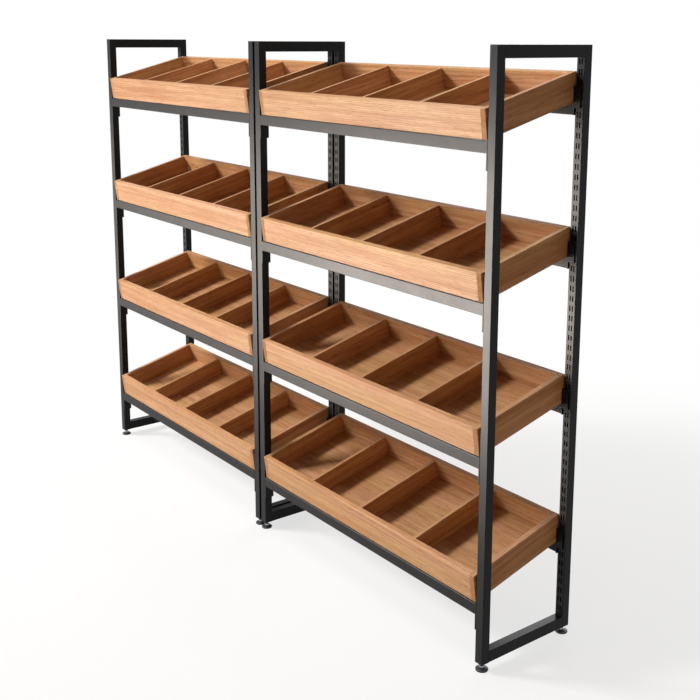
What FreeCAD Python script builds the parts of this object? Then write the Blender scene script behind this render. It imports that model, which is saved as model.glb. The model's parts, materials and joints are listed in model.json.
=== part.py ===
import FreeCAD, Part
import math
import os
from FreeCAD import Vector

# Bakery bread rack: two equal bays side by side. A bay is two welded end frames of
# slotted square tube, four front rails and four rear beams that hook into the slots,
# and four wooden trays that lie tilted on them. Units are millimetres, +Z is up,
# -Y is the shopper's side, and the origin is on the floor under the middle.

# Bays
BAY_COUNT = 2
BAY_WIDTH = 1010.0              # over the outer faces of a bay's two end frames
BAY_GAP = 10.0                  # between the two frames that stand back to back
FRAME_HEIGHT = 1490.0           # end frame without its feet
FRAME_DEPTH = 310.0

# End frame tubes
POST_WIDTH = 25.0               # along X
POST_DEPTH = 25.0               # along Y
CROSS_BAR_HEIGHT = 30.0         # top and bottom bars of an end frame
TUBE_WALL = 1.5
TUBE_CORNER_RADIUS = 1.5
POST_END_PLATE = 3.0            # closes each end of a post

# Slots, in two columns down the inner face of every post
SLOT_WIDTH = 3.9
SLOT_HEIGHT = 14.0
SLOT_PITCH = 25.0
SLOT_COLUMN_SPACING = 8.0
FIRST_SLOT_ABOVE_BAR = 21.0     # centre of the lowest slot above the bottom bar
LAST_SLOT_MARGIN = 1.0          # least metal between the highest slot and the top bar

# Rails, beams and their hook brackets
RAIL_HEIGHT = 29.0
RAIL_DEPTH = 25.0
BRACKET_PLATE = 3.0
BRACKET_GAP = 0.5               # running clearance between a bracket and a post
BRACKET_HEIGHT = 68.0
HOOK_PLATE_HEIGHT = 51.0
HOOK_PLATE_REACH = 18.0         # how far the hook plate covers the post's width
HOOK_PLATE_CHAMFER = 8.0
HOOK_NECK_HEIGHT = 7.0
HOOK_SIDE_CLEARANCE = 0.5       # between a hook and each side of its slot
HOOK_SEAT_GAP = 0.3             # between a hook's neck and the foot of its slot
HOOK_TONGUE_DEPTH = 2.5
HOOK_TONGUE_DROP = 6.0
HOOK_WALL_GAP = 0.4             # between a hook's tongue and the tube wall
HOOKS_PER_BRACKET = 2
RAIL_TOP_ABOVE_HOOK_SLOT = 52.0  # front rail's top over its lowest hook's slot centre
BEAM_TOP_ABOVE_HOOK_SLOT = 2.0   # rear beam's top over its lowest hook's slot centre

# Shelf levels, counted in slots; the lowest shelf's hooks leave some slots free below
SHELF_COUNT = 4
SLOTS_PER_SHELF = 15
SLOTS_BELOW_FRONT_HOOK = 2
SLOTS_BELOW_REAR_HOOK = 7

# Trays
TRAY_SIDE_GAP = 5.0             # between a tray and the post beside it
TRAY_SEAT_GAP = 0.3             # between a tray and the rail or beam under it
TRAY_FRONT_SETBACK = 3.5        # front bottom edge behind the posts' front faces
TRAY_BEAM_LAP = 25.0            # how far the base lies over the rear beam, along its tilt
TRAY_HEIGHT = 71.0              # square to the tilted base
FRONT_BOARD_LEAN = 7.5          # degrees, top outward from the vertical
WALL_BOARD = 15.0
BASE_BOARD = 9.0
DIVIDER_BOARD = 10.0
DIVIDER_COUNT = 3
DIVIDER_DROP = 2.0              # divider tops below the tray's rim

# Levelling feet
FOOT_CLEARANCE = 20.0           # floor to the underside of an end frame
FOOT_PAD_RADIUS = 16.0
FOOT_PAD_RIM = 4.0
FOOT_PAD_HEIGHT = 7.0
FOOT_HEX_ACROSS_FLATS = 13.0
FOOT_HEX_HEIGHT = 5.0
FOOT_STEM_RADIUS = 4.0
FOOT_STEM_LENGTH = 46.0         # above the pad
FOOT_THREAD_CLEARANCE = 0.05
FOOT_NUT_RADIUS = 8.0
FOOT_NUT_HEIGHT = 10.0

# Worked out from the sizes above
TOTAL_WIDTH = BAY_COUNT * BAY_WIDTH + (BAY_COUNT - 1) * BAY_GAP
FRAME_TOP = FOOT_CLEARANCE + FRAME_HEIGHT
BOTTOM_BAR_TOP = FOOT_CLEARANCE + CROSS_BAR_HEIGHT
TOP_BAR_BOTTOM = FRAME_TOP - CROSS_BAR_HEIGHT
FIRST_SLOT = BOTTOM_BAR_TOP + FIRST_SLOT_ABOVE_BAR
BEAM_LIFT = (SLOTS_BELOW_REAR_HOOK - SLOTS_BELOW_FRONT_HOOK) * SLOT_PITCH \
    + BEAM_TOP_ABOVE_HOOK_SLOT - RAIL_TOP_ABOVE_HOOK_SLOT
TRAY_RUN = FRAME_DEPTH - RAIL_DEPTH - TRAY_FRONT_SETBACK
TRAY_TILT = math.degrees(math.atan2(BEAM_LIFT, TRAY_RUN))
TRAY_LENGTH = math.hypot(TRAY_RUN, BEAM_LIFT) + TRAY_BEAM_LAP   # along the tilted base
TRAY_WIDTH = BAY_WIDTH - 2 * (POST_WIDTH + TRAY_SIDE_GAP)
FRONT_BOARD_SLOPE = math.tan(math.radians(TRAY_TILT - FRONT_BOARD_LEAN))
TRAY_LIP = TRAY_HEIGHT * math.sin(math.radians(TRAY_TILT)) \
    - TRAY_HEIGHT * FRONT_BOARD_SLOPE * math.cos(math.radians(TRAY_TILT)) \
    - TRAY_FRONT_SETBACK
FOOT_OVERHANG = FOOT_PAD_RADIUS - POST_DEPTH / 2
FRONT_REACH = max(TRAY_LIP, FOOT_OVERHANG, 0.0)
REAR_REACH = max(FOOT_OVERHANG, 0.0)
FRONT_FACE = (FRONT_REACH - FRAME_DEPTH - REAR_REACH) / 2   # the front posts' front faces
REAR_FACE = FRONT_FACE + FRAME_DEPTH


def box(size_x, size_y, size_z, x=0.0, y=0.0, z=0.0):
    return Part.makeBox(size_x, size_y, size_z, Vector(x, y, z))


def moved(shape, x=0.0, y=0.0, z=0.0):
    copy = shape.copy()
    copy.translate(Vector(x, y, z))
    return copy


def prism(points_yz, length, x=0.0):
    """Extrude a closed outline in the YZ plane along +X."""
    corners = [Vector(x, y, z) for y, z in points_yz]
    outline = Part.makePolygon(corners + corners[:1])
    return Part.Face(outline).extrude(Vector(length, 0, 0))


def rounded_box(size_x, size_y, size_z, along):
    """A box at the origin whose edges along one axis are rounded."""
    solid = box(size_x, size_y, size_z)
    edges = []
    for edge in solid.Edges:
        direction = edge.Vertexes[1].Point - edge.Vertexes[0].Point
        if abs(direction.dot(along)) > 0.5 * direction.Length:
            edges.append(edge)
    return solid.makeFillet(TUBE_CORNER_RADIUS, edges)


def write(name, solids):
    shape = solids[0] if len(solids) == 1 else Part.makeCompound(solids)
    shape.exportStep("parts/%s.step" % name)


def slot_centres():
    """Heights of the slot centres, from the lowest up."""
    heights = []
    height = FIRST_SLOT
    while height + SLOT_HEIGHT / 2 <= TOP_BAR_BOTTOM - LAST_SLOT_MARGIN:
        heights.append(height)
        height += SLOT_PITCH
    return heights


def front_post():
    """Closed square tube with two columns of slots in its rear face, corner at x = y = 0."""
    tube = rounded_box(POST_WIDTH, POST_DEPTH, FRAME_HEIGHT, Vector(0, 0, 1))
    hollow = box(POST_WIDTH - 2 * TUBE_WALL, POST_DEPTH - 2 * TUBE_WALL,
                 FRAME_HEIGHT - 2 * POST_END_PLATE, TUBE_WALL, TUBE_WALL, POST_END_PLATE)
    centre = Vector(POST_WIDTH / 2, POST_DEPTH / 2, 0)
    nut = Part.makeCylinder(FOOT_NUT_RADIUS, POST_END_PLATE + FOOT_NUT_HEIGHT, centre)
    bore = Part.makeCylinder(FOOT_STEM_RADIUS + FOOT_THREAD_CLEARANCE,
                             POST_END_PLATE + FOOT_NUT_HEIGHT, centre)
    slots = []
    for side in (-1, 1):
        for height in slot_centres():
            slots.append(box(SLOT_WIDTH, 2 * TUBE_WALL, SLOT_HEIGHT,
                             centre.x + side * SLOT_COLUMN_SPACING / 2 - SLOT_WIDTH / 2,
                             POST_DEPTH - 1.5 * TUBE_WALL,
                             height - FOOT_CLEARANCE - SLOT_HEIGHT / 2))
    post = tube.cut(hollow).fuse(nut).cut(bore).cut(Part.makeCompound(slots))
    return moved(post, z=FOOT_CLEARANCE)


def rear_post():
    """The front post turned half round, so that its slots face forward."""
    post = front_post()
    post.rotate(Vector(POST_WIDTH / 2, POST_DEPTH / 2, 0), Vector(0, 0, 1), 180)
    return post


def cross_bar(bottom):
    """A rectangular tube welded between the two posts of an end frame."""
    length = FRAME_DEPTH - 2 * POST_DEPTH
    tube = rounded_box(POST_WIDTH, length, CROSS_BAR_HEIGHT, Vector(0, 1, 0))
    hollow = box(POST_WIDTH - 2 * TUBE_WALL, length, CROSS_BAR_HEIGHT - 2 * TUBE_WALL,
                 TUBE_WALL, 0, TUBE_WALL)
    return moved(tube.cut(hollow), 0, POST_DEPTH, bottom)


def levelling_foot():
    """Glide, hexagon and screw stem in one piece, standing on z = 0 about x = y = 0."""
    glide = Part.makeCylinder(FOOT_PAD_RADIUS, FOOT_PAD_RIM)
    crown = Part.makeCone(FOOT_PAD_RADIUS, FOOT_HEX_ACROSS_FLATS / 2,
                          FOOT_PAD_HEIGHT - FOOT_PAD_RIM, Vector(0, 0, FOOT_PAD_RIM))
    corner_radius = FOOT_HEX_ACROSS_FLATS / math.sqrt(3)
    corners = [Vector(corner_radius * math.cos(math.radians(60 * k)),
                      corner_radius * math.sin(math.radians(60 * k)),
                      FOOT_PAD_HEIGHT) for k in range(6)]
    hexagon = Part.Face(Part.makePolygon(corners + corners[:1])) \
        .extrude(Vector(0, 0, FOOT_HEX_HEIGHT))
    stem = Part.makeCylinder(FOOT_STEM_RADIUS, FOOT_STEM_LENGTH, Vector(0, 0, FOOT_PAD_HEIGHT))
    return glide.fuse([crown, hexagon, stem]).removeSplitter()


def hook(slot_centre):
    """One hook of a left-hand bracket at the front: neck through the slot, tongue behind."""
    width = SLOT_WIDTH - 2 * HOOK_SIDE_CLEARANCE
    x = -POST_WIDTH / 2 + SLOT_COLUMN_SPACING / 2 - width / 2
    neck_bottom = slot_centre - SLOT_HEIGHT / 2 + HOOK_SEAT_GAP
    wall_inside = POST_DEPTH - TUBE_WALL
    tongue_front = wall_inside - HOOK_WALL_GAP - HOOK_TONGUE_DEPTH
    plate_front = POST_DEPTH + BRACKET_GAP
    neck = box(width, plate_front - tongue_front, HOOK_NECK_HEIGHT,
               x, tongue_front, neck_bottom)
    tongue = box(width, HOOK_TONGUE_DEPTH, HOOK_NECK_HEIGHT + HOOK_TONGUE_DROP,
                 x, tongue_front, neck_bottom - HOOK_TONGUE_DROP)
    return neck.fuse(tongue)


def bracket(bottom, plate_bottom, chamfer_at_top, lowest_hook_slot):
    """Left-hand bracket at the front, with the post's inner face at x = 0.

    An upright plate closes the rail's end, and a hook plate folds out behind the post.
    """
    back = POST_DEPTH + BRACKET_GAP
    upright = box(BRACKET_PLATE, back + BRACKET_PLATE, BRACKET_HEIGHT, BRACKET_GAP, 0, bottom)
    far = -HOOK_PLATE_REACH
    near = BRACKET_GAP
    low = plate_bottom
    high = plate_bottom + HOOK_PLATE_HEIGHT
    cut = HOOK_PLATE_CHAMFER
    if chamfer_at_top:
        outline = [(near, low), (far, low), (far, high - cut), (far + cut, high), (near, high)]
    else:
        outline = [(near, low), (far + cut, low), (far, low + cut), (far, high), (near, high)]
    corners = [Vector(x, back, z) for x, z in outline]
    hook_plate = Part.Face(Part.makePolygon(corners + corners[:1])) \
        .extrude(Vector(0, BRACKET_PLATE, 0))
    solid = upright.fuse(hook_plate)
    for k in range(HOOKS_PER_BRACKET):
        solid = solid.fuse(hook(lowest_hook_slot + k * SLOT_PITCH))
    return solid.removeSplitter()


def rail_with_brackets(top, bracket_bottom, plate_bottom, chamfer_at_top, lowest_hook_slot):
    """A front rail for a bay whose left post has its inner face at x = 0."""
    clear_width = BAY_WIDTH - 2 * POST_WIDTH
    end = BRACKET_GAP + BRACKET_PLATE
    length = clear_width - 2 * end
    tube = rounded_box(length, RAIL_DEPTH, RAIL_HEIGHT, Vector(1, 0, 0))
    hollow = box(length, RAIL_DEPTH - 2 * TUBE_WALL, RAIL_HEIGHT - 2 * TUBE_WALL,
                 0, TUBE_WALL, TUBE_WALL)
    tube = moved(tube.cut(hollow), end, 0, top - RAIL_HEIGHT)
    left = bracket(bracket_bottom, plate_bottom, chamfer_at_top, lowest_hook_slot)
    right = left.mirror(Vector(clear_width / 2, 0, 0), Vector(1, 0, 0))
    return [tube, left, right]


def front_rail(hook_slot):
    """The brackets reach below the rail."""
    top = hook_slot + RAIL_TOP_ABOVE_HOOK_SLOT
    bottom = top - BRACKET_HEIGHT
    return rail_with_brackets(top, bottom, bottom, False, hook_slot)


def rear_beam(hook_slot):
    """The same section, mirrored front to back, with brackets that reach above the beam."""
    top = hook_slot + BEAM_TOP_ABOVE_HOOK_SLOT
    bottom = top - RAIL_HEIGHT
    plate_bottom = bottom + BRACKET_HEIGHT - HOOK_PLATE_HEIGHT
    solids = rail_with_brackets(top, bottom, plate_bottom, True, hook_slot)
    return [solid.mirror(Vector(0, FRAME_DEPTH / 2, 0), Vector(0, 1, 0)) for solid in solids]


def seated(solid):
    """Tilt a tray piece and set the tray's front bottom edge over a rail top at z = 0."""
    solid.rotate(Vector(0, 0, 0), Vector(1, 0, 0), TRAY_TILT)
    return moved(solid, 0, TRAY_FRONT_SETBACK, TRAY_SEAT_GAP)


def tray_walls():
    """Side boards over the full length, with the front and back boards between them."""
    inner_width = TRAY_WIDTH - 2 * WALL_BOARD
    top_front = TRAY_HEIGHT * FRONT_BOARD_SLOPE
    side = [(0, 0), (TRAY_LENGTH, 0), (TRAY_LENGTH, TRAY_HEIGHT), (top_front, TRAY_HEIGHT)]
    front = [(0, 0), (front_inside(0), 0), (front_inside(TRAY_HEIGHT), TRAY_HEIGHT),
             (top_front, TRAY_HEIGHT)]
    return [seated(prism(side, WALL_BOARD)),
            seated(prism(side, WALL_BOARD, TRAY_WIDTH - WALL_BOARD)),
            seated(prism(front, inner_width, WALL_BOARD)),
            seated(box(inner_width, WALL_BOARD, TRAY_HEIGHT,
                       WALL_BOARD, TRAY_LENGTH - WALL_BOARD, 0))]


def front_inside(height):
    """Where the leaning front board's inner face is, at a height above the base."""
    lean = math.atan(FRONT_BOARD_SLOPE)
    return WALL_BOARD / math.cos(lean) + height * FRONT_BOARD_SLOPE


def tray_base():
    back = TRAY_LENGTH - WALL_BOARD
    outline = [(front_inside(0), 0), (back, 0), (back, BASE_BOARD),
               (front_inside(BASE_BOARD), BASE_BOARD)]
    return [seated(prism(outline, TRAY_WIDTH - 2 * WALL_BOARD, WALL_BOARD))]


def tray_dividers():
    """Upright boards that part the tray into equal compartments."""
    back = TRAY_LENGTH - WALL_BOARD
    top = TRAY_HEIGHT - DIVIDER_DROP
    outline = [(front_inside(BASE_BOARD), BASE_BOARD), (back, BASE_BOARD), (back, top),
               (front_inside(top), top)]
    inner_width = TRAY_WIDTH - 2 * WALL_BOARD
    compartment = (inner_width - DIVIDER_COUNT * DIVIDER_BOARD) / (DIVIDER_COUNT + 1)
    solids = []
    for k in range(DIVIDER_COUNT):
        x = WALL_BOARD + compartment + k * (compartment + DIVIDER_BOARD)
        solids.append(seated(prism(outline, DIVIDER_BOARD, x)))
    return solids


def build():
    os.makedirs("parts", exist_ok=True)
    posts = {"front": moved(front_post(), y=FRONT_FACE),
             "rear": moved(rear_post(), y=REAR_FACE - POST_DEPTH)}
    cross_bars = [moved(cross_bar(FOOT_CLEARANCE), y=FRONT_FACE),
                  moved(cross_bar(TOP_BAR_BOTTOM), y=FRONT_FACE)]
    foot = levelling_foot()
    foot_y = {"front": FRONT_FACE + POST_DEPTH / 2, "rear": REAR_FACE - POST_DEPTH / 2}
    walls, base, dividers = tray_walls(), tray_base(), tray_dividers()

    for bay in range(BAY_COUNT):
        bay_left = bay * (BAY_WIDTH + BAY_GAP) - TOTAL_WIDTH / 2
        bay_name = "bay_%d" % (bay + 1)

        for side, x in (("left", bay_left), ("right", bay_left + BAY_WIDTH - POST_WIDTH)):
            frame_name = "%s_%s" % (bay_name, side)
            for end in ("front", "rear"):
                write("%s_%s_post" % (frame_name, end), [moved(posts[end], x)])
                write("%s_%s_foot" % (frame_name, end),
                      [moved(foot, x + POST_WIDTH / 2, foot_y[end])])
            write("%s_cross_bars" % frame_name, [moved(bar, x) for bar in cross_bars])

        inner_left = bay_left + POST_WIDTH
        tray_left = inner_left + TRAY_SIDE_GAP
        for level in range(SHELF_COUNT):
            slot_offset = level * SLOTS_PER_SHELF
            front_hook = FIRST_SLOT + (SLOTS_BELOW_FRONT_HOOK + slot_offset) * SLOT_PITCH
            rear_hook = FIRST_SLOT + (SLOTS_BELOW_REAR_HOOK + slot_offset) * SLOT_PITCH
            rail_top = front_hook + RAIL_TOP_ABOVE_HOOK_SLOT
            shelf_name = "%s_shelf_%d" % (bay_name, level + 1)
            write(shelf_name + "_front_rail",
                  [moved(s, inner_left, FRONT_FACE) for s in front_rail(front_hook)])
            write(shelf_name + "_rear_beam",
                  [moved(s, inner_left, FRONT_FACE) for s in rear_beam(rear_hook)])
            for piece, solids in (("walls", walls), ("base", base), ("dividers", dividers)):
                write("%s_tray_%s" % (shelf_name, piece),
                      [moved(s, tray_left, FRONT_FACE, rail_top) for s in solids])


build()
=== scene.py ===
"""A bakery bread rack: two bays of black powder-coated steel with eight tilted oak trays.

Laid out as a Blender add-on and run as a script. Lengths are in metres, +Z is up and the
shopper stands on the -Y side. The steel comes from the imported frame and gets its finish
here; the trays and the levelling feet are modelled here in full detail.
"""

import json
import math
import random

import bpy
from bpy.props import FloatProperty, FloatVectorProperty, IntProperty, PointerProperty
from mathutils import Matrix, Vector

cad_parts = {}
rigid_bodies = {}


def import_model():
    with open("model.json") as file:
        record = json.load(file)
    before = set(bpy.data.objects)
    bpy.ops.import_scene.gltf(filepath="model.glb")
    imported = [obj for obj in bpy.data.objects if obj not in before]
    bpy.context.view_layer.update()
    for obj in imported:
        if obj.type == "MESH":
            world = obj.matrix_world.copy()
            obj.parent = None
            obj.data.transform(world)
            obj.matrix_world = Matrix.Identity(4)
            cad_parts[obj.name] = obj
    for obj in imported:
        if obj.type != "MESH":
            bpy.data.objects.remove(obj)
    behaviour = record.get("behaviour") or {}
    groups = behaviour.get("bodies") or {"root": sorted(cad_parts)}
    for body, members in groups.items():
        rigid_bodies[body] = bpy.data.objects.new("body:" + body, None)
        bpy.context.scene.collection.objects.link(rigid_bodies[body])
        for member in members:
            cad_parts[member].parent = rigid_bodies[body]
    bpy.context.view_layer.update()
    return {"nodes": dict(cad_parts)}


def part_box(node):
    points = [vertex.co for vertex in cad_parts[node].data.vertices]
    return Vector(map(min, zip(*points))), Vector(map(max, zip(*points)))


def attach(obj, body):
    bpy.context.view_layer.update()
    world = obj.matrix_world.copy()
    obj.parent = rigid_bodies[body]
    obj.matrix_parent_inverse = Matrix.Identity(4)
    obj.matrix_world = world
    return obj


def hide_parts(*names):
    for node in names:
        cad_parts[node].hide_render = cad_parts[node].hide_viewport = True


bl_info = {
    "name": "Bakery bread rack",
    "version": (1, 0, 0),
    "blender": (4, 5, 0),
    "location": "3D View > Sidebar > Bread rack",
    "description": "Finishes a steel bread rack and builds its oak trays, feet and studio",
    "category": "Add Mesh",
}

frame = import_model()
NODES = frame["nodes"]

MM = 0.001
MATCH = 0.6 * MM                # an eased corner may end this much inside its solid
SMOOTH_ANGLE = math.radians(35)     # gentler edges of the feet are shaded smooth
SHARP_ANGLE = math.radians(50)      # sharper edges of the feet are bevelled
SEED = 41
STEEL = [node for name, node in NODES.items()
         if name.endswith(("_post", "_cross_bars", "_front_rail", "_rear_beam"))]


def linear(hex_colour):
    """An sRGB hex colour as linear red, green, blue and alpha."""
    values = []
    for start in (1, 3, 5):
        s = int(hex_colour[start:start + 2], 16) / 255
        values.append(s / 12.92 if s <= 0.04045 else ((s + 0.055) / 1.055) ** 2.4)
    return (*values, 1.0)


def colour(name, description, hex_colour):
    return FloatVectorProperty(name=name, description=description, subtype="COLOR", size=4,
                               min=0, max=1, default=linear(hex_colour))


def length(name, description, millimetres):
    return FloatProperty(name=name, description=description, default=millimetres * MM,
                         min=0, unit="LENGTH", subtype="DISTANCE")


def angle(name, description, degrees):
    return FloatProperty(name=name, description=description, default=math.radians(degrees),
                         unit="ROTATION", subtype="ANGLE")


class RackSteel(bpy.types.PropertyGroup):
    coat: colour("Powder coat", "Colour of the frames, rails and beams", "#0E0F11")
    coat_worn: colour("Rubbed coat", "Where hands and brackets have polished it", "#17181B")
    peel: length("Orange peel", "Width of one ripple of the coat", 1.6)
    peel_depth: length("Peel depth", "Height of one ripple of the coat", 0.012)


class RackTrays(bpy.types.PropertyGroup):
    length: length("Tray length", "Along the tilted base, front to back", 316.32)
    height: length("Tray height", "Square to the tilted base", 71)
    wall: length("Wall board", "Thickness of the side, front and back boards", 15)
    base: length("Base board", "Thickness of the base", 9)
    divider: length("Divider", "Thickness of a divider", 10)
    divider_drop: length("Divider drop", "Divider tops below the rim", 2)
    dividers: IntProperty(name="Dividers", description="Dividers in one tray", default=3, min=0)
    tilt: angle("Tilt", "How far a tray leans towards the shopper", 14.92)
    lean: angle("Front lean", "How far the front board leans out from the vertical", 7.5)
    eased: length("Eased edge", "Width of the sanded edges of a board", 0.9)
    light: colour("Latewood", "Pale wood between the growth lines", "#E8B892")
    golden: colour("Golden wood", "Broad yellower bands", "#DEB580")
    middle: colour("Heartwood", "Darker streaks", "#C0885B")
    dark: colour("Earlywood", "The porous growth lines", "#9B6236")
    pore: colour("Pores", "Oil-filled pores", "#6D3E21")
    other_tree: colour("Other tree", "Tint laid over the boards that differ most", "#F2EDE4")
    ring: length("Ring spacing", "Width of one year's growth", 5)


class RackFeet(bpy.types.PropertyGroup):
    glide_radius: length("Glide radius", "Radius of the moulded glide", 16)
    glide_rim: length("Glide rim", "Height of the glide's upright rim", 4)
    glide_height: length("Glide height", "Height of the glide under its hexagon", 7)
    hexagon: length("Hexagon", "Across the flats of the stem's hexagon", 13)
    hexagon_height: length("Hexagon height", "Height of the hexagon", 5)
    stem_radius: length("Stem radius", "Outside radius of the M8 thread", 3.95)
    stem_root: length("Thread root", "Radius at the root of the thread", 3.3)
    stem_length: length("Stem length", "Stem above the glide", 46)
    pitch: length("Thread pitch", "Rise of one turn of the thread", 1.25)
    plastic: colour("Glide plastic", "Moulded nylon", "#1B1C1E")
    dust: colour("Dust", "Shop dust in the texture of the glide", "#4A4843")
    zinc: colour("Zinc plating", "Bright zinc on the stem", "#B9BDC2")
    zinc_dull: colour("Clouded zinc", "Zinc where the plating has clouded", "#8F949B")


class RackStage(bpy.types.PropertyGroup):
    camera_at: FloatVectorProperty(name="Camera", description="Where the camera stands",
                                   subtype="TRANSLATION", unit="LENGTH",
                                   default=(2.7331, -1.8257, 1.5248))
    yaw: angle("Yaw", "Camera turned to the left of +Y", 51.847)
    pitch: angle("Pitch", "Camera tipped up", -10.697)
    roll: angle("Roll", "Camera rolled anticlockwise", 0.37)
    lens: FloatProperty(name="Lens", description="Focal length in mm on a 36 mm sensor",
                        default=55.35, min=1)
    shift_x: FloatProperty(name="Shift X", description="Sideways framing", default=-0.0435)
    shift_y: FloatProperty(name="Shift Y", description="Upright framing", default=-0.157)
    floor: colour("Floor", "Pale floor", "#F4F4F4")
    floor_size: FloatProperty(name="Floor size", description="Width of the floor",
                              default=60, unit="LENGTH")
    window_power: FloatProperty(name="Window", description="Wide low light in front, in watts",
                                default=76, min=0)
    high_power: FloatProperty(name="High light", description="Front left light that throws the "
                              "dividers' shadows, in watts", default=580, min=0)
    top_power: FloatProperty(name="Top light", description="Ceiling light, in watts",
                             default=60, min=0)
    rear_power: FloatProperty(name="Rear light", description="Wide light behind the rack, in "
                              "watts", default=150, min=0)
    fill_power: FloatProperty(name="Fill light", description="Low light on the right, in watts",
                              default=6, min=0)
    left_card: FloatProperty(name="Left reflector", description="Low card in front of bay 1 "
                             "that only shows in the gloss of steel and oil, in watts",
                             default=42, min=0)
    right_card: FloatProperty(name="Right reflector", description="The brighter card in front "
                              "of bay 2, in watts", default=250, min=0)
    oak_share: FloatProperty(name="Reflectors on oak", description="Share of the reflectors' "
                             "power that the front boards get", default=0.44, min=0)
    ambient: colour("Ambient", "Light from the room on matt surfaces", "#40372F")


# Modelling with Blender's own operators

def deselect_all():
    bpy.ops.object.select_all(action="DESELECT")


def only(piece):
    deselect_all()
    piece.select_set(True)
    bpy.context.view_layer.objects.active = piece


def pick(piece, kind, chosen):
    """Select in edit mode the vertices, edges or faces of a piece that chosen() accepts."""
    only(piece)
    bpy.ops.object.mode_set(mode="EDIT")
    bpy.ops.mesh.select_mode(type=kind)
    bpy.ops.mesh.select_all(action="DESELECT")
    bpy.ops.object.mode_set(mode="OBJECT")
    parts = {"VERT": piece.data.vertices, "EDGE": piece.data.edges,
             "FACE": piece.data.polygons}[kind]
    for part in parts:
        part.select = chosen(part)
    bpy.ops.object.mode_set(mode="EDIT")


def leave_edit_mode():
    bpy.ops.object.mode_set(mode="OBJECT")


def apply_modifier(piece, kind, **settings):
    """Add a modifier with its settings and apply it."""
    only(piece)
    modifier = piece.modifiers.new(kind.lower(), kind)
    for key, value in settings.items():
        setattr(modifier, key, value)
    bpy.ops.object.modifier_apply(modifier=modifier.name)


def copy_piece(source, name, place):
    """A copy with its own mesh, moved in that mesh so that the object stays at the origin."""
    piece = source.copy()
    piece.data = source.data.copy()
    piece.data.transform(place)
    piece.name = piece.data.name = name
    bpy.context.scene.collection.objects.link(piece)
    return piece


def remove(piece):
    bpy.data.objects.remove(piece)


def mesh_box(pieces):
    """The lowest and highest corner of the box round all the pieces' meshes."""
    points = [vertex.co for piece in pieces for vertex in piece.data.vertices]
    return (Vector(map(min, *points)), Vector(map(max, *points)))


def require_match(pieces, node):
    """Stop if the new pieces don't fill the same box as the node that they stand for."""
    for made, solid in zip(mesh_box(pieces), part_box(node)):
        if (made - solid).length > MATCH:
            raise RuntimeError("%s: the pieces end at %s and the solid at %s"
                               % (node, tuple(made), tuple(solid)))


# Materials

def add_node(tree, kind, inputs=None, **settings):
    """Add one node with its settings; each input is a value or another node's output."""
    node = tree.nodes.new(kind)
    for key, value in settings.items():
        setattr(node, key, value)
    for key, value in (inputs or {}).items():
        socket = node.inputs[key]
        if isinstance(value, bpy.types.NodeSocket):
            tree.links.new(value, socket)
        else:
            socket.default_value = value
    return node


def new_material(name):
    material = bpy.data.materials.new(name)
    material.use_nodes = True
    material.node_tree.nodes.clear()
    return material, material.node_tree


def finish_material(tree, shader):
    add_node(tree, "ShaderNodeOutputMaterial", {"Surface": shader})


def powder_coated_steel(steel):
    """Mild steel tube with a satin black powder coat.

    The melted powder leaves a fine orange peel, so the sheen breaks up a little, and the
    coat is near black with a cool cast.
    """
    material, tree = new_material("powder_coated_steel")
    place = add_node(tree, "ShaderNodeTexCoord").outputs["Object"]
    # real ripples are 0.8 mm wide; they are drawn at 1.6 mm so that they show in a near view
    peel = add_node(tree, "ShaderNodeTexNoise", {"Vector": place, "Scale": 1 / steel.peel,
                                                 "Detail": 1.0, "Roughness": 0.4})
    # handling marks a hand's width across, so nine to the metre
    handling = add_node(tree, "ShaderNodeTexNoise", {"Vector": place, "Scale": 9.0,
                                                     "Detail": 5.0, "Roughness": 0.65})
    marks = add_node(tree, "ShaderNodeMapRange", {
        "Value": handling.outputs["Fac"], "From Min": 0.42, "From Max": 0.72,
        "To Min": 0.0, "To Max": 0.8})
    tint = add_node(tree, "ShaderNodeMix", {0: marks.outputs["Result"], 6: steel.coat,
                                            7: steel.coat_worn}, data_type="RGBA")
    satin = add_node(tree, "ShaderNodeMapRange", {
        "Value": handling.outputs["Fac"], "From Min": 0.3, "From Max": 0.7,
        "To Min": 0.40, "To Max": 0.31})
    bump = add_node(tree, "ShaderNodeBump", {"Height": peel.outputs["Fac"], "Strength": 0.6,
                                             "Distance": steel.peel_depth})
    # matting agent in the powder takes most of the mirror-like part of the sheen
    coat = add_node(tree, "ShaderNodeBsdfPrincipled", {
        "Base Color": tint.outputs[2], "Roughness": satin.outputs["Result"], "IOR": 1.5,
        "Specular IOR Level": 0.12, "Normal": bump.outputs["Normal"]})
    finish_material(tree, coat.outputs["BSDF"])
    return material


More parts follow.
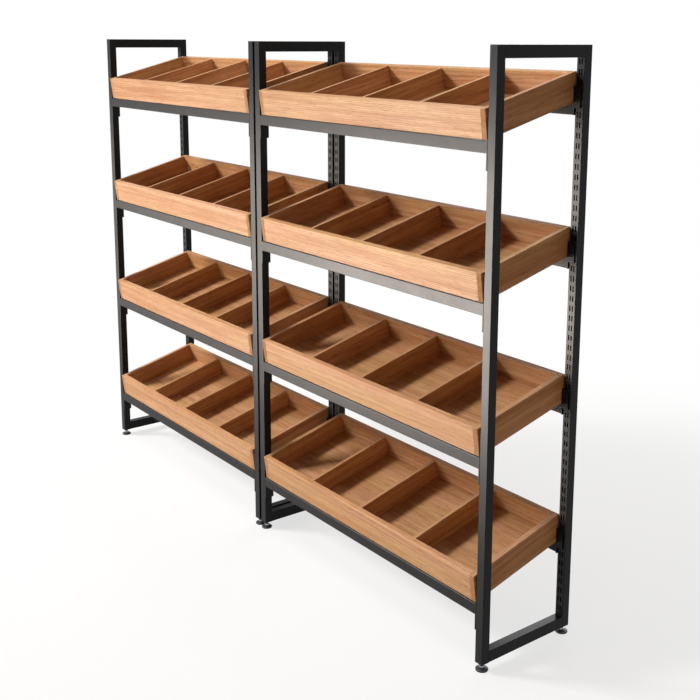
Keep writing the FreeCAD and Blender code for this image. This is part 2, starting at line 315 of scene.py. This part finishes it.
def oiled_oak(trays):
    """Planed oak boards, rubbed with oil.

    The growth lines run the length of every board and show as arcs on its ends. Open pores
    lie along the lines and take the oil darker.
    """
    material, tree = new_material("oiled_oak")
    grain = add_node(tree, "ShaderNodeAttribute", attribute_name="grain_place").outputs["Vector"]

    def stretched(along, across, detail, roughness=0.5):
        """Noise with so many changes in a metre along the grain and across it."""
        place = add_node(tree, "ShaderNodeVectorMath", {0: grain, 1: (along, across, across)},
                         operation="MULTIPLY")
        return add_node(tree, "ShaderNodeTexNoise", {
            "Vector": place.outputs["Vector"], "Scale": 1.0, "Detail": detail,
            "Roughness": roughness}).outputs["Fac"]

    def ranged(value, low, high, to_low, to_high):
        return add_node(tree, "ShaderNodeMapRange", {
            "Value": value, "From Min": low, "From Max": high,
            "To Min": to_low, "To Max": to_high}).outputs["Result"]

    def mixed(share, first, second, blend="MIX"):
        return add_node(tree, "ShaderNodeMix", {0: share, 6: first, 7: second},
                        data_type="RGBA", blend_type=blend).outputs[2]

    def worked(operation, *values):
        return add_node(tree, "ShaderNodeMath", dict(enumerate(values)),
                        operation=operation).outputs[0]

    # distance from the heart of the log, which wanders by a ring or two along a board
    flat = add_node(tree, "ShaderNodeVectorMath", {0: grain, 1: (0, 1, 1)},
                    operation="MULTIPLY")
    radius = add_node(tree, "ShaderNodeVectorMath", {0: flat.outputs["Vector"]},
                      operation="LENGTH").outputs["Value"]
    wander = ranged(stretched(1.1, 11, 3), 0, 1, -0.011, 0.011)
    turns = worked("MULTIPLY", worked("ADD", radius, wander), 2 * math.pi / trays.ring)
    wave = worked("MULTIPLY_ADD", worked("SINE", turns), 0.5, 0.5)
    line = worked("POWER", wave, 3.2)

    # real pores are 0.3 mm wide; they are drawn about 1 mm wide and 20 mm long, to show
    pores = ranged(stretched(40, 560, 1), 0.57, 0.68, 0, 1)
    pores = worked("MULTIPLY", pores, ranged(line, 0, 1, 0.35, 1))
    streaks = ranged(stretched(2.1, 58, 4, 0.62), 0.36, 0.66, 0, 1)
    fibre = ranged(stretched(11, 300, 3, 0.7), 0.34, 0.68, 0, 1)

    tint = mixed(ranged(stretched(0.9, 17, 2), 0.38, 0.62, 0, 1), trays.light, trays.golden)
    tint = mixed(worked("MULTIPLY", streaks, 0.85), tint, trays.middle)
    tint = mixed(worked("MULTIPLY", line, 0.32), tint, trays.dark)
    tint = mixed(worked("MULTIPLY", fibre, 0.44), tint, trays.dark)
    tint = mixed(worked("MULTIPLY", pores, 0.6), tint, trays.pore)
    # boards come from different trees
    tree_share = ranged(stretched(0.23, 0, 0), 0.25, 0.75, 0, 1)
    tree_tint = mixed(tree_share, trays.other_tree, linear("#FFFFFF"))
    tint = mixed(1.0, tint, tree_tint, "MULTIPLY")
    # end grain drinks more oil
    end = add_node(tree, "ShaderNodeAttribute", attribute_name="end_grain").outputs["Fac"]
    tint = mixed(worked("MULTIPLY", end, 0.3), tint, trays.dark)

    height = worked("SUBTRACT", ranged(line, 0, 1, 0.5, 0.35), worked("MULTIPLY", pores, 0.5))
    bump = add_node(tree, "ShaderNodeBump", {"Height": height, "Strength": 0.5,
                                             "Distance": 0.3 * MM})
    wood = add_node(tree, "ShaderNodeBsdfPrincipled", {
        "Base Color": tint, "Roughness": ranged(streaks, 0, 1, 0.46, 0.58), "IOR": 1.46,
        "Specular IOR Level": 0.3, "Normal": bump.outputs["Normal"]})
    finish_material(tree, wood.outputs["BSDF"])
    return material


def moulded_nylon(feet):
    """Injection-moulded black nylon with a fine spark-eroded texture, so it looks matte."""
    material, tree = new_material("moulded_nylon")
    place = add_node(tree, "ShaderNodeTexCoord").outputs["Object"]
    # the eroded grit is under 0.1 mm and is drawn at 0.6 mm so that it shows; the dust lies
    # in patches of 8 mm
    grit = add_node(tree, "ShaderNodeTexNoise", {"Vector": place, "Scale": 1600.0,
                                                 "Detail": 2.0})
    dust = add_node(tree, "ShaderNodeTexNoise", {"Vector": place, "Scale": 120.0,
                                                 "Detail": 4.0})
    faded = add_node(tree, "ShaderNodeMapRange", {
        "Value": dust.outputs["Fac"], "From Min": 0.45, "From Max": 0.8, "To Max": 0.4})
    tint = add_node(tree, "ShaderNodeMix", {0: faded.outputs["Result"], 6: feet.plastic,
                                            7: feet.dust}, data_type="RGBA")
    bump = add_node(tree, "ShaderNodeBump", {"Height": grit.outputs["Fac"], "Strength": 0.5,
                                             "Distance": 0.05 * MM})
    nylon = add_node(tree, "ShaderNodeBsdfPrincipled", {
        "Base Color": tint.outputs[2], "Roughness": 0.48, "IOR": 1.53,
        "Normal": bump.outputs["Normal"]})
    finish_material(tree, nylon.outputs["BSDF"])
    return material


def zinc_plated_steel(feet):
    """Turned and rolled steel with bright zinc plating: a blue-grey gloss, a little clouded."""
    material, tree = new_material("zinc_plated_steel")
    place = add_node(tree, "ShaderNodeTexCoord").outputs["Object"]
    # the clouds are 2.5 mm wide
    cloud = add_node(tree, "ShaderNodeTexNoise", {"Vector": place, "Scale": 400.0,
                                                  "Detail": 3.0})
    tint = add_node(tree, "ShaderNodeMix", {0: cloud.outputs["Fac"], 6: feet.zinc,
                                            7: feet.zinc_dull}, data_type="RGBA")
    gloss = add_node(tree, "ShaderNodeMapRange", {"Value": cloud.outputs["Fac"],
                                                  "To Min": 0.22, "To Max": 0.42})
    zinc = add_node(tree, "ShaderNodeBsdfPrincipled", {
        "Base Color": tint.outputs[2], "Metallic": 1.0,
        "Roughness": gloss.outputs["Result"]})
    finish_material(tree, zinc.outputs["BSDF"])
    return material


# Trays

def board(name, grain, low, high, top_front=0.0, top_rear=0.0):
    """A planed board between two corners, with eased edges, lying untilted at the origin.

    The top edges at the front and rear are pushed back by top_front and top_rear, for a
    leaning end. grain names the axes that run along, across and through the board.
    """
    low, high = Vector(low), Vector(high)
    middle = (low + high) / 2
    deselect_all()
    bpy.ops.mesh.primitive_cube_add(size=1, location=middle, scale=high - low)
    piece = bpy.context.object
    piece.name = name
    bpy.ops.object.transform_apply(location=True, rotation=True, scale=True)
    # the rear edge goes first, so that the front one isn't taken for it once it is pushed
    for push, rear in ((top_rear, True), (top_front, False)):
        if push:
            pick(piece, "VERT", lambda v: v.co.z > middle.z and (v.co.y > middle.y) == rear)
            bpy.ops.transform.translate(value=(0, push, 0))
            leave_edit_mode()
    eased = bpy.context.scene.rack_trays.eased
    apply_modifier(piece, "BEVEL", width=eased, segments=2, limit_method="NONE")

    axes = ["XYZ".index(axis) for axis in grain]
    places = piece.data.attributes.new("grain_place", "FLOAT_VECTOR", "POINT")
    for vertex, place in zip(piece.data.vertices, places.data):
        place.vector = [vertex.co[axis] for axis in axes]
    ends = piece.data.attributes.new("end_grain", "FLOAT", "FACE")
    for face, end in zip(piece.data.polygons, ends.data):
        end.value = float(abs(face.normal[axes[0]]) > 0.9)
    return piece


def tray_boards(width, trays):
    """One tray's boards in tray coordinates: x across, y back along the base, z square to it."""
    slope = math.tan(trays.tilt - trays.lean)
    long, high, wall, base = trays.length, trays.height, trays.wall, trays.base
    inside = wall * math.hypot(1, slope)
    top_rim = high * slope
    boards = {"walls": [
        board("left_board", "YZX", (0, 0, 0), (wall, long, high), top_rim),
        board("right_board", "YZX", (width - wall, 0, 0), (width, long, high), top_rim),
        board("front_board", "XZY", (wall, 0, 0), (width - wall, inside, high),
              top_rim, top_rim),
        board("back_board", "XZY", (wall, long - wall, 0), (width - wall, long, high)),
    ], "base": [
        board("base_board", "XYZ", (wall, inside, 0), (width - wall, long - wall, base),
              base * slope),
    ], "dividers": []}
    top = high - trays.divider_drop
    room = width - 2 * wall - trays.dividers * trays.divider
    compartment = room / (trays.dividers + 1)
    for k in range(trays.dividers):
        left = wall + compartment + k * (compartment + trays.divider)
        boards["dividers"].append(
            board("divider_%d" % (k + 1), "YZX", (left, inside + base * slope, base),
                  (left + trays.divider, long - wall, top), (top - base) * slope))
    return boards


def shift_grain(piece, dice):
    """Cut this board from its own place in the log: metres along it and off its heart."""
    along = dice.uniform(0, 60)
    across = dice.choice((-1, 1)) * dice.uniform(0.05, 0.15)
    through = dice.uniform(0.015, 0.07)
    offset = Vector((along, across, through))
    for place in piece.data.attributes["grain_place"].data:
        place.vector = Vector(place.vector) + offset


class RACK_OT_trays(bpy.types.Operator):
    """Build the oak trays in place of their plain solids"""
    bl_idname = "rack.trays"
    bl_label = "Build trays"

    def execute(self, context):
        trays = context.scene.rack_trays
        oak = oiled_oak(trays)
        dice = random.Random(SEED)
        solids = sorted(name for name in NODES if name.endswith("_tray_walls"))
        if not solids:
            raise RuntimeError("the frame has no tray walls")
        low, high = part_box(solids[0])
        patterns = tray_boards(high.x - low.x, trays)
        turn = Matrix.Rotation(trays.tilt, 4, "X")
        # the front rim is the foremost point, and the bottom front edge is the lowest
        rim = turn @ Vector((0, trays.height * math.tan(trays.tilt - trays.lean),
                             trays.height))
        for walls in solids:
            tray = walls.removesuffix("_walls")
            low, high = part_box(walls)
            place = Matrix.Translation((low.x, low.y - rim.y, low.z)) @ turn
            for part, sources in patterns.items():
                node = "%s_%s" % (tray, part)
                made = []
                for source in sources:
                    piece = copy_piece(source, "%s_%s" % (tray, source.name), place)
                    shift_grain(piece, dice)
                    piece.data.materials.append(oak)
                    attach(piece, tray)
                    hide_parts(node)
                    made.append(piece)
                require_match(made, node)
        for sources in patterns.values():
            for source in sources:
                remove(source)
        return {"FINISHED"}


# Steel frames, rails and beams

class RACK_OT_steel(bpy.types.Operator):
    """Give the posts, cross bars, rails and beams their powder coat"""
    bl_idname = "rack.steel"
    bl_label = "Coat the steel"

    def execute(self, context):
        coat = powder_coated_steel(context.scene.rack_steel)
        if not STEEL:
            raise RuntimeError("the frame has no steel nodes")
        for node in STEEL:
            for place in node.material_slots:
                place.material = coat
        return {"FINISHED"}


# Levelling feet

# the glide's crown, ring by ring: share of the radius, and of the rise from rim to hexagon
CROWN = ((0.93, 0.22), (0.72, 0.62), (0.5, 1.0))
GLIDE_BEVEL = 0.6 * MM
HEXAGON_BEVEL = 0.5 * MM


def glide(feet):
    """Moulded glide: a rimmed disc with a crowned top and rounded edges, about x = y = 0."""
    deselect_all()
    bpy.ops.mesh.primitive_cylinder_add(vertices=48, radius=feet.glide_radius,
                                        depth=feet.glide_rim,
                                        location=(0, 0, feet.glide_rim / 2))
    piece = bpy.context.object
    bpy.ops.object.transform_apply(location=True, rotation=True, scale=True)
    top = feet.glide_rim
    radius = feet.glide_radius
    for share, rise in CROWN:
        pick(piece, "FACE", lambda f: f.normal.z > 0.99 and f.center.z > top - 0.1 * MM)
        new_top = feet.glide_rim + rise * (feet.glide_height - feet.glide_rim)
        bpy.ops.mesh.extrude_region_move(TRANSFORM_OT_translate={"value": (0, 0, new_top - top)})
        factor = share * feet.glide_radius / radius
        bpy.ops.transform.resize(value=(factor, factor, 1), center_override=(0, 0, new_top))
        leave_edit_mode()
        top, radius = new_top, share * feet.glide_radius
    apply_modifier(piece, "BEVEL", width=GLIDE_BEVEL, segments=2, limit_method="ANGLE",
                   angle_limit=SHARP_ANGLE)
    only(piece)
    bpy.ops.object.shade_smooth_by_angle(angle=SMOOTH_ANGLE)
    return piece


def threaded_stem(feet):
    """Hexagon and rolled thread of the stem, standing on the glide."""
    foot = feet.glide_height
    deselect_all()
    bpy.ops.mesh.primitive_cylinder_add(vertices=6, radius=feet.hexagon / math.sqrt(3),
                                        depth=feet.hexagon_height,
                                        location=(0, 0, foot + feet.hexagon_height / 2),
                                        rotation=(0, 0, math.radians(30)))
    hexagon = bpy.context.object
    bpy.ops.object.transform_apply(location=True, rotation=True, scale=True)
    apply_modifier(hexagon, "BEVEL", width=HEXAGON_BEVEL, segments=2, limit_method="ANGLE",
                   angle_limit=SHARP_ANGLE)

    # a blank at the thread's root, cut into one slice for each half turn of the thread
    top = foot + feet.stem_length
    bottom = foot + feet.hexagon_height / 2
    bpy.ops.mesh.primitive_cylinder_add(vertices=20, radius=feet.stem_root, depth=top - bottom,
                                        location=(0, 0, (top + bottom) / 2))
    stem = bpy.context.object
    bpy.ops.object.transform_apply(location=True, rotation=True, scale=True)
    only(stem)
    bpy.ops.object.mode_set(mode="EDIT")
    ridges = int((top - bottom) / feet.pitch)
    for k in range(1, 2 * ridges):
        bpy.ops.mesh.select_all(action="SELECT")
        bpy.ops.mesh.bisect(plane_co=(0, 0, bottom + k * feet.pitch / 2), plane_no=(0, 0, 1))
    leave_edit_mode()
    # every other slice is drawn out to the crest
    crest = {round(bottom + k * feet.pitch / 2, 6) for k in range(1, 2 * ridges, 2)}
    pick(stem, "VERT", lambda v: any(abs(v.co.z - z) < 0.1 * MM for z in crest))
    grow = feet.stem_radius / feet.stem_root
    bpy.ops.transform.resize(value=(grow, grow, 1), center_override=(0, 0, 0))
    leave_edit_mode()
    deselect_all()
    stem.select_set(True)
    hexagon.select_set(True)
    bpy.context.view_layer.objects.active = hexagon
    bpy.ops.object.join()
    bpy.ops.object.shade_smooth_by_angle(angle=SMOOTH_ANGLE)
    return hexagon


class RACK_OT_feet(bpy.types.Operator):
    """Build the levelling feet in place of their plain solids"""
    bl_idname = "rack.feet"
    bl_label = "Build feet"

    def execute(self, context):
        feet = context.scene.rack_feet
        nylon, zinc = moulded_nylon(feet), zinc_plated_steel(feet)
        patterns = {"glide": (glide(feet), nylon), "stem": (threaded_stem(feet), zinc)}
        solids = sorted(name for name in NODES if name.endswith("_foot"))
        if not solids:
            raise RuntimeError("the frame has no feet")
        for foot in solids:
            low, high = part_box(foot)
            place = Matrix.Translation(((low.x + high.x) / 2, (low.y + high.y) / 2, low.z))
            for part, (source, finish) in patterns.items():
                piece = copy_piece(source, "%s_%s" % (foot, part), place)
                piece.data.materials.append(finish)
                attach(piece, foot)
                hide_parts(foot)
        for source, _ in patterns.values():
            remove(source)
        return {"FINISHED"}


# Studio

# where each lamp stands, what it points at, its width and height, and its tint
LAMPS = {
    "window": ((-1.8, -4.6, 1.0), (0.2, 0, 0.6), (3.6, 1.8), "#FFFDFA"),
    "high": ((-4.4, -4.5, 4.7), (0.2, 0, 0.8), (1.6, 1.6), "#FFFDFA"),
    "top": ((0, -0.6, 4.2), (0, 0, 0.8), (4.0, 2.0), "#FFFFFF"),
    "rear": ((-1.8, 4.2, 1.7), (0, 0, 0.8), (3.6, 2.4), "#FFFFFF"),
    "fill": ((3.2, -0.8, 0.6), (1.0, 0, 0.8), (1.4, 0.5), "#FFC98C"),
}
# the reflector cards: the middle of each along X, and its width
CARDS = {"left": (-2.1, 1.8), "right": (0.0, 2.4)}
CARD_DISTANCE = 1.25
CARD_MIDDLE = 0.57
CARD_HEIGHT = 1.04
CARD_TINT = "#FFF3E8"
SENSOR_WIDTH = 36               # mm
FLOOR_PAINT = "#8A8A8A"         # the part of the floor's brightness that a shadow takes away
FLOOR_GLOW = 0.78               # the part that a shadow leaves
FLOOR_BOUNCE = "#9C9287"        # what the floor throws back at the rack
# the floor turns to the white background between these distances from the rack's middle
FADE_START = 1.2
FADE_END = 2.6


class RACK_OT_stage(bpy.types.Operator):
    """Set up the floor, the lights, the background and the camera"""
    bl_idname = "rack.stage"
    bl_label = "Set the stage"

    def execute(self, context):
        stage = context.scene.rack_stage
        self.lay_floor(stage)
        self.light(stage)
        self.background(context.scene, stage)
        self.set_camera(context.scene, stage)
        return {"FINISHED"}

    def seen_rays(self, tree):
        """1 for a ray that shows the background: to the camera, in gloss or through glass."""
        ray = add_node(tree, "ShaderNodeLightPath").outputs
        straight = add_node(tree, "ShaderNodeMath", {0: ray["Is Camera Ray"],
                                                     1: ray["Is Transmission Ray"]},
                            operation="MAXIMUM")
        return add_node(tree, "ShaderNodeMath", {0: straight.outputs[0],
                                                 1: ray["Is Glossy Ray"]},
                        operation="MAXIMUM").outputs[0]

    def lay_floor(self, stage):
        deselect_all()
        bpy.ops.mesh.primitive_plane_add(size=stage.floor_size, location=(0, 0, 0))
        floor = bpy.context.object
        floor.name = "studio_floor"
        material, tree = new_material("painted_studio_floor")
        seen = self.seen_rays(tree)
        place = add_node(tree, "ShaderNodeTexCoord").outputs["Object"]
        far = add_node(tree, "ShaderNodeVectorMath", {0: place}, operation="LENGTH")
        fade = add_node(tree, "ShaderNodeMapRange", {
            "Value": far.outputs["Value"], "From Min": FADE_START, "From Max": FADE_END},
            interpolation_type="SMOOTHSTEP")
        paint = add_node(tree, "ShaderNodeBsdfDiffuse", {"Color": linear(FLOOR_PAINT)})
        glow = add_node(tree, "ShaderNodeEmission", {"Color": stage.floor,
                                                     "Strength": FLOOR_GLOW})
        near = add_node(tree, "ShaderNodeAddShader", {0: paint.outputs[0], 1: glow.outputs[0]})
        white = add_node(tree, "ShaderNodeEmission", {"Color": linear("#FFFFFF")})
        pale = add_node(tree, "ShaderNodeMixShader", {0: fade.outputs["Result"],
                                                      1: near.outputs[0],
                                                      2: white.outputs[0]})
        bounce = add_node(tree, "ShaderNodeBsdfDiffuse", {"Color": linear(FLOOR_BOUNCE)})
        shader = add_node(tree, "ShaderNodeMixShader", {0: seen, 1: bounce.outputs[0],
                                                        2: pale.outputs[0]})
        finish_material(tree, shader.outputs[0])
        floor.data.materials.append(material)

    def soft_light(self, name, at, towards, size, power, tint):
        deselect_all()
        at, towards = Vector(at), Vector(towards)
        turn = (towards - at).to_track_quat("-Z", "Y").to_euler()
        bpy.ops.object.light_add(type="AREA", location=at, rotation=turn)
        lamp = bpy.context.object
        lamp.name = name
        lamp.data.shape = "RECTANGLE"
        lamp.data.size, lamp.data.size_y = size
        lamp.data.energy = power
        lamp.data.color = linear(tint)[:3]
        lamp.visible_camera = False
        return lamp

    def light(self, stage):
        for name, (at, towards, size, tint) in LAMPS.items():
            power = getattr(stage, name + "_power")
            lamp = self.soft_light(name + "_light", at, towards, size, power, tint)
            # the fill is what the room throws back, too weak to show in the gloss of the steel
            lamp.visible_glossy = name != "fill"
        # the cross bars lie end on to the cards, and would only catch them from behind
        facing = [node for node in STEEL if not node.name.endswith("_cross_bars")]
        fronts = [piece for piece in bpy.data.objects if piece.name.endswith("_front_board")]
        self.set_reflectors(stage, "steel", facing, 1.0)
        self.set_reflectors(stage, "oak", fronts, stage.oak_share)

    def set_reflectors(self, stage, finish, pieces, share):
        """Cards that shine on these pieces alone, at a share of their power.

        Their reflections lie along the front of the posts and rails, and fade at the foot.
        """
        shone_on = bpy.data.collections.new(finish + "_in_front")
        for piece in pieces:
            shone_on.objects.link(piece)
        for side, (x, width) in CARDS.items():
            power = share * getattr(stage, side + "_card")
            card = self.soft_light("%s_%s_reflector" % (side, finish),
                                   (x, -CARD_DISTANCE, CARD_MIDDLE), (x, 0, CARD_MIDDLE),
                                   (width, CARD_HEIGHT), power, CARD_TINT)
            card.visible_diffuse = False
            card.light_linking.receiver_collection = shone_on

    def background(self, scene, stage):
        world = bpy.data.worlds.new("studio")
        scene.world = world
        world.use_nodes = True
        tree = world.node_tree
        tree.nodes.clear()
        shown = add_node(tree, "ShaderNodeMix", {
            0: self.seen_rays(tree), 6: stage.ambient, 7: linear("#FFFFFF")},
            data_type="RGBA")
        sky = add_node(tree, "ShaderNodeBackground", {"Color": shown.outputs[2]})
        add_node(tree, "ShaderNodeOutputWorld", {"Surface": sky.outputs[0]})

    def set_camera(self, scene, stage):
        deselect_all()
        turn = (Matrix.Rotation(stage.yaw, 4, "Z")
                @ Matrix.Rotation(math.radians(90) + stage.pitch, 4, "X")
                @ Matrix.Rotation(stage.roll, 4, "Z"))
        bpy.ops.object.camera_add(location=stage.camera_at, rotation=turn.to_euler())
        camera = bpy.context.object
        camera.name = "camera"
        camera.data.sensor_width = SENSOR_WIDTH
        camera.data.lens = stage.lens
        camera.data.shift_x, camera.data.shift_y = stage.shift_x, stage.shift_y
        scene.camera = camera
        scene.view_settings.view_transform = "Standard"


class RACK_PT_panel(bpy.types.Panel):
    """Sizes, colours and building steps of the bread rack"""
    bl_idname = "RACK_PT_panel"
    bl_label = "Bread rack"
    bl_space_type = "VIEW_3D"
    bl_region_type = "UI"
    bl_category = "Bread rack"

    def draw(self, context):
        for group, operator in STEPS:
            box = self.layout.box()
            settings = getattr(context.scene, group)
            for key in settings.__annotations__:
                box.prop(settings, key)
            box.operator(operator)


GROUPS = {"rack_steel": RackSteel, "rack_trays": RackTrays, "rack_feet": RackFeet,
          "rack_stage": RackStage}
STEPS = (("rack_steel", "rack.steel"), ("rack_trays", "rack.trays"),
         ("rack_feet", "rack.feet"), ("rack_stage", "rack.stage"))
CLASSES = (*GROUPS.values(), RACK_OT_steel, RACK_OT_trays, RACK_OT_feet, RACK_OT_stage,
           RACK_PT_panel)


def register():
    for cls in CLASSES:
        bpy.utils.register_class(cls)
    for name, group in GROUPS.items():
        setattr(bpy.types.Scene, name, PointerProperty(type=group))


def unregister():
    for name in GROUPS:
        delattr(bpy.types.Scene, name)
    for cls in reversed(CLASSES):
        bpy.utils.unregister_class(cls)


def main():
    register()
    bpy.ops.rack.steel()
    bpy.ops.rack.trays()
    bpy.ops.rack.feet()
    bpy.ops.rack.stage()


if __name__ == "__main__":
    main()
